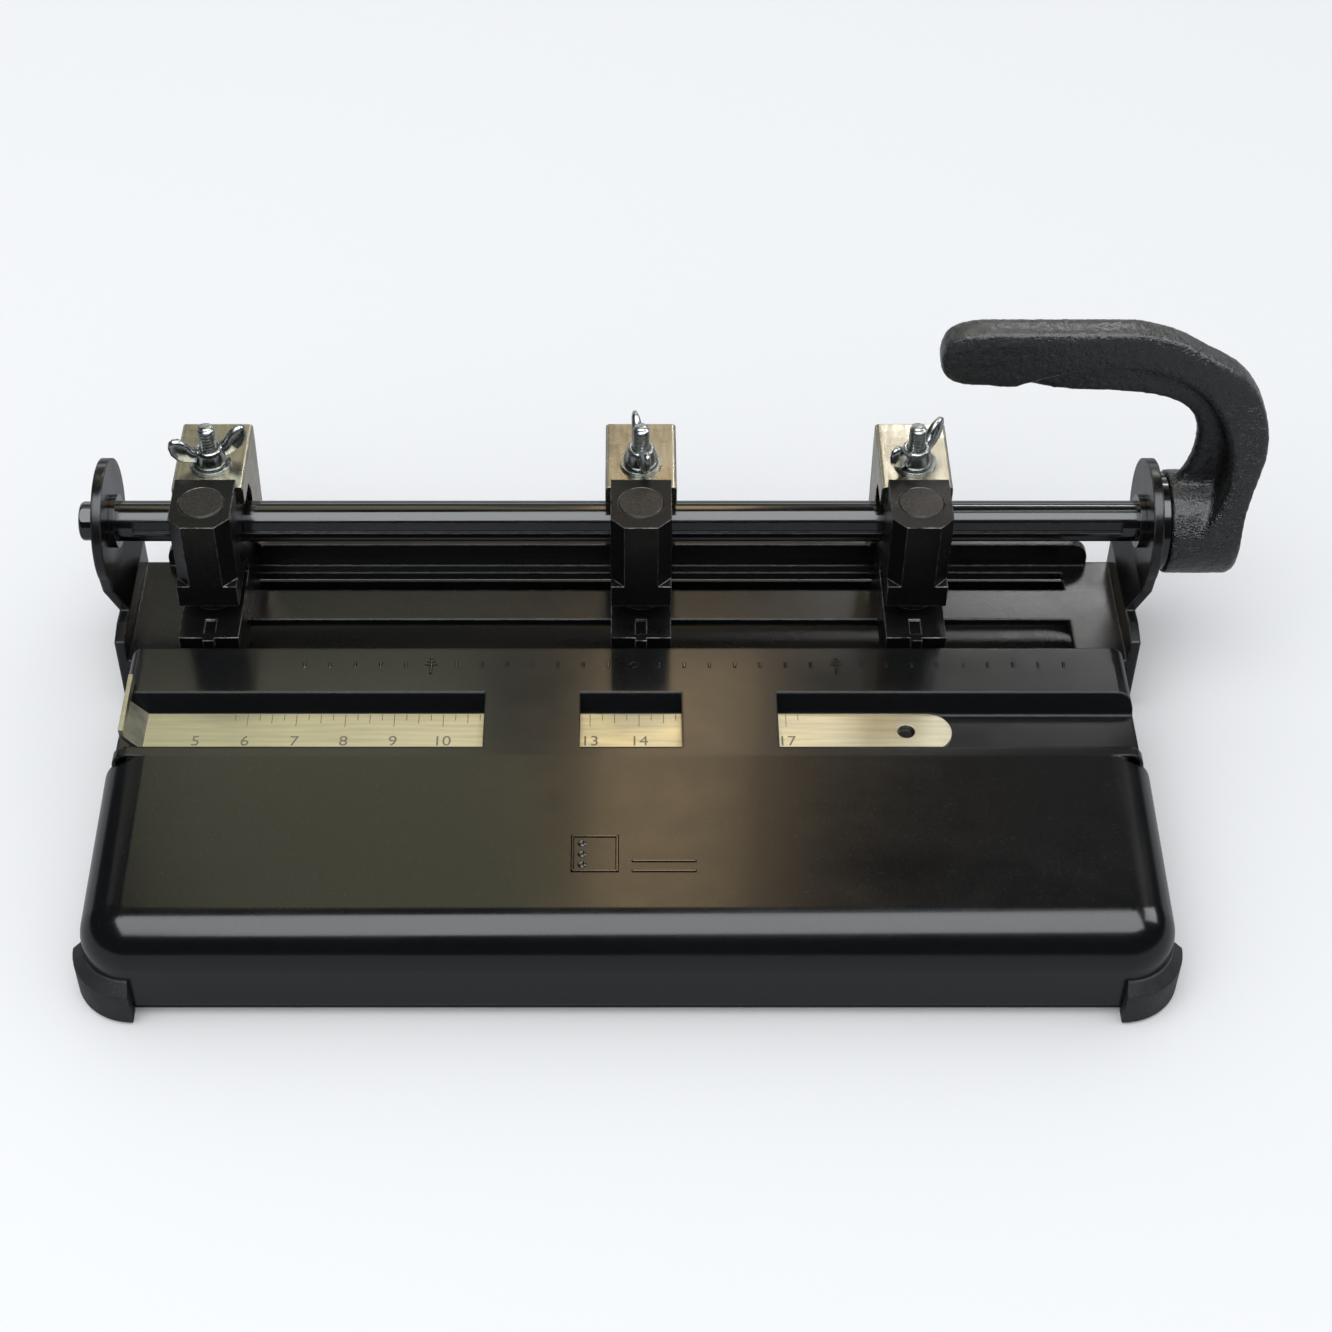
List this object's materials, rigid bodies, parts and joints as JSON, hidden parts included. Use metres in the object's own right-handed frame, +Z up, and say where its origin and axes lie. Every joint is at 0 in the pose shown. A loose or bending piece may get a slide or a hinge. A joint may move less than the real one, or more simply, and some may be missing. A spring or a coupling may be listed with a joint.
{
  "type": "hole punch",
  "caption": "Desk paper punch with three sliding heads on a slotted frame, a keyed drive shaft turned by a C-shaped side lever, and a sliding gauge ruler in the deck.",
  "frame": {"origin": "middle of the whole punch's box in X and Y, on the surface that its feet stand on", "axes": "+X along the punch towards the lever, +Y towards the back, +Z up"},
  "size_m": [0.3144, 0.1552, 0.1124],
  "materials": {
    "cover_paint": "glossy black stoving enamel",
    "frame_paint": "satin black enamel",
    "cast_paint": "pebbled black paint on casting",
    "head_black": "matte black oxide",
    "shaft_black": "glossy black bar",
    "pin_steel": "hardened tool steel, darkened",
    "zinc_yellow": "pale yellow zinc plating",
    "zinc_bright": "bright zinc plating",
    "spring_steel": "drawn spring steel",
    "rubber": "dark grey moulded rubber",
    "pan_paint": "satin black enamel"
  },
  "bodies": {
    "base": {"base_cover": "cover_paint", "punch_frame": "frame_paint", "cover_screws": "zinc_bright", "front_feet": "rubber", "rear_feet": "rubber", "ruler_spring": "spring_steel", "left_bush": "shaft_black", "right_bush": "shaft_black"},
    "pan": {"chip_pan": "pan_paint"},
    "ruler": {"gauge_ruler": "zinc_yellow"},
    "lever": {"drive_shaft": "shaft_black", "end_bolt": "shaft_black", "end_washer": "shaft_black", "thrust_ring": "shaft_black", "lever_handle": "cast_paint", "handle_pin": "spring_steel", "return_spring": "spring_steel"},
    "left_head": {"left_head_body": "head_black", "left_die_bush": "pin_steel", "left_clamp_stud": "zinc_bright", "left_clamp_bracket": "zinc_yellow", "left_clamp_washer": "zinc_bright"},
    "left_cam": {"left_drive_cam": "pin_steel", "left_cam_key": "pin_steel"},
    "left_pin": {"left_punch_pin": "pin_steel"},
    "left_nut": {"left_wing_nut": "zinc_bright"},
    "centre_head": {"centre_head_body": "head_black", "centre_die_bush": "pin_steel", "centre_clamp_stud": "zinc_bright", "centre_clamp_bracket": "zinc_yellow", "centre_clamp_washer": "zinc_bright"},
    "centre_cam": {"centre_drive_cam": "pin_steel", "centre_cam_key": "pin_steel"},
    "centre_pin": {"centre_punch_pin": "pin_steel"},
    "centre_nut": {"centre_wing_nut": "zinc_bright"},
    "right_head": {"right_head_body": "head_black", "right_die_bush": "pin_steel", "right_clamp_stud": "zinc_bright", "right_clamp_bracket": "zinc_yellow", "right_clamp_washer": "zinc_bright"},
    "right_cam": {"right_drive_cam": "pin_steel", "right_cam_key": "pin_steel"},
    "right_pin": {"right_punch_pin": "pin_steel"},
    "right_nut": {"right_wing_nut": "zinc_bright"}
  },
  "joints": [
    {"name": "lever_turn", "type": "hinge", "parent": "base", "child": "lever", "pos_m": [-0.00958, 0.05605, 0.046], "axis": [1, 0, 0], "range_deg": [0, 41.1], "stiffness_Nm_per_rad": 0.25, "springref_deg": -40.11},
    {"name": "pan_slide", "type": "slide", "parent": "base", "child": "pan", "axis": [0, 1, 0], "range_m": [0, 0.1]},
    {"name": "ruler_slide", "type": "slide", "parent": "base", "child": "ruler", "axis": [1, 0, 0], "range_m": [-0.09, 0.08]},
    {"name": "left_head_slide", "type": "slide", "parent": "base", "child": "left_head", "axis": [1, 0, 0], "range_m": [-0.002, 0.05]},
    {"name": "left_cam_turn", "type": "hinge", "parent": "left_head", "child": "left_cam", "pos_m": [-0.12098, 0.05605, 0.046], "axis": [1, 0, 0], "range_deg": [-0.5, 41.6]},
    {"name": "left_pin_stroke", "type": "slide", "parent": "left_head", "child": "left_pin", "axis": [0, 0, -1], "range_m": [-0.0001, 0.00771]},
    {"name": "left_nut_turn", "type": "hinge", "parent": "left_head", "child": "left_nut", "pos_m": [-0.12098, 0.06135, 0.065], "axis": [0, 0, 1], "range_deg": [0, 180]},
    {"name": "centre_head_slide", "type": "slide", "parent": "base", "child": "centre_head", "axis": [1, 0, 0], "range_m": [-0.04, 0.025]},
    {"name": "centre_cam_turn", "type": "hinge", "parent": "centre_head", "child": "centre_cam", "pos_m": [-0.00598, 0.05605, 0.046], "axis": [1, 0, 0], "range_deg": [-0.5, 41.6]},
    {"name": "centre_pin_stroke", "type": "slide", "parent": "centre_head", "child": "centre_pin", "axis": [0, 0, -1], "range_m": [-0.0001, 0.00771]},
    {"name": "centre_nut_turn", "type": "hinge", "parent": "centre_head", "child": "centre_nut", "pos_m": [-0.00598, 0.06135, 0.065], "axis": [0, 0, 1], "range_deg": [0, 180]},
    {"name": "right_head_slide", "type": "slide", "parent": "base", "child": "right_head", "axis": [1, 0, 0], "range_m": [-0.022, 0.037]},
    {"name": "right_cam_turn", "type": "hinge", "parent": "right_head", "child": "right_cam", "pos_m": [0.06722, 0.05605, 0.046], "axis": [1, 0, 0], "range_deg": [-0.5, 41.6]},
    {"name": "right_pin_stroke", "type": "slide", "parent": "right_head", "child": "right_pin", "axis": [0, 0, -1], "range_m": [-0.0001, 0.00771]},
    {"name": "right_nut_turn", "type": "hinge", "parent": "right_head", "child": "right_nut", "pos_m": [0.06722, 0.06135, 0.065], "axis": [0, 0, 1], "range_deg": [0, 180]}
  ],
  "couplings": [
    {"joint": "left_cam_turn", "follows": "lever_turn", "ratio": 1},
    {"joint": "left_pin_stroke", "follows": "lever_turn", "m_per_rad": 0.010604},
    {"joint": "centre_cam_turn", "follows": "lever_turn", "ratio": 1},
    {"joint": "centre_pin_stroke", "follows": "lever_turn", "m_per_rad": 0.010604},
    {"joint": "right_cam_turn", "follows": "lever_turn", "ratio": 1},
    {"joint": "right_pin_stroke", "follows": "lever_turn", "m_per_rad": 0.010604}
  ]
}
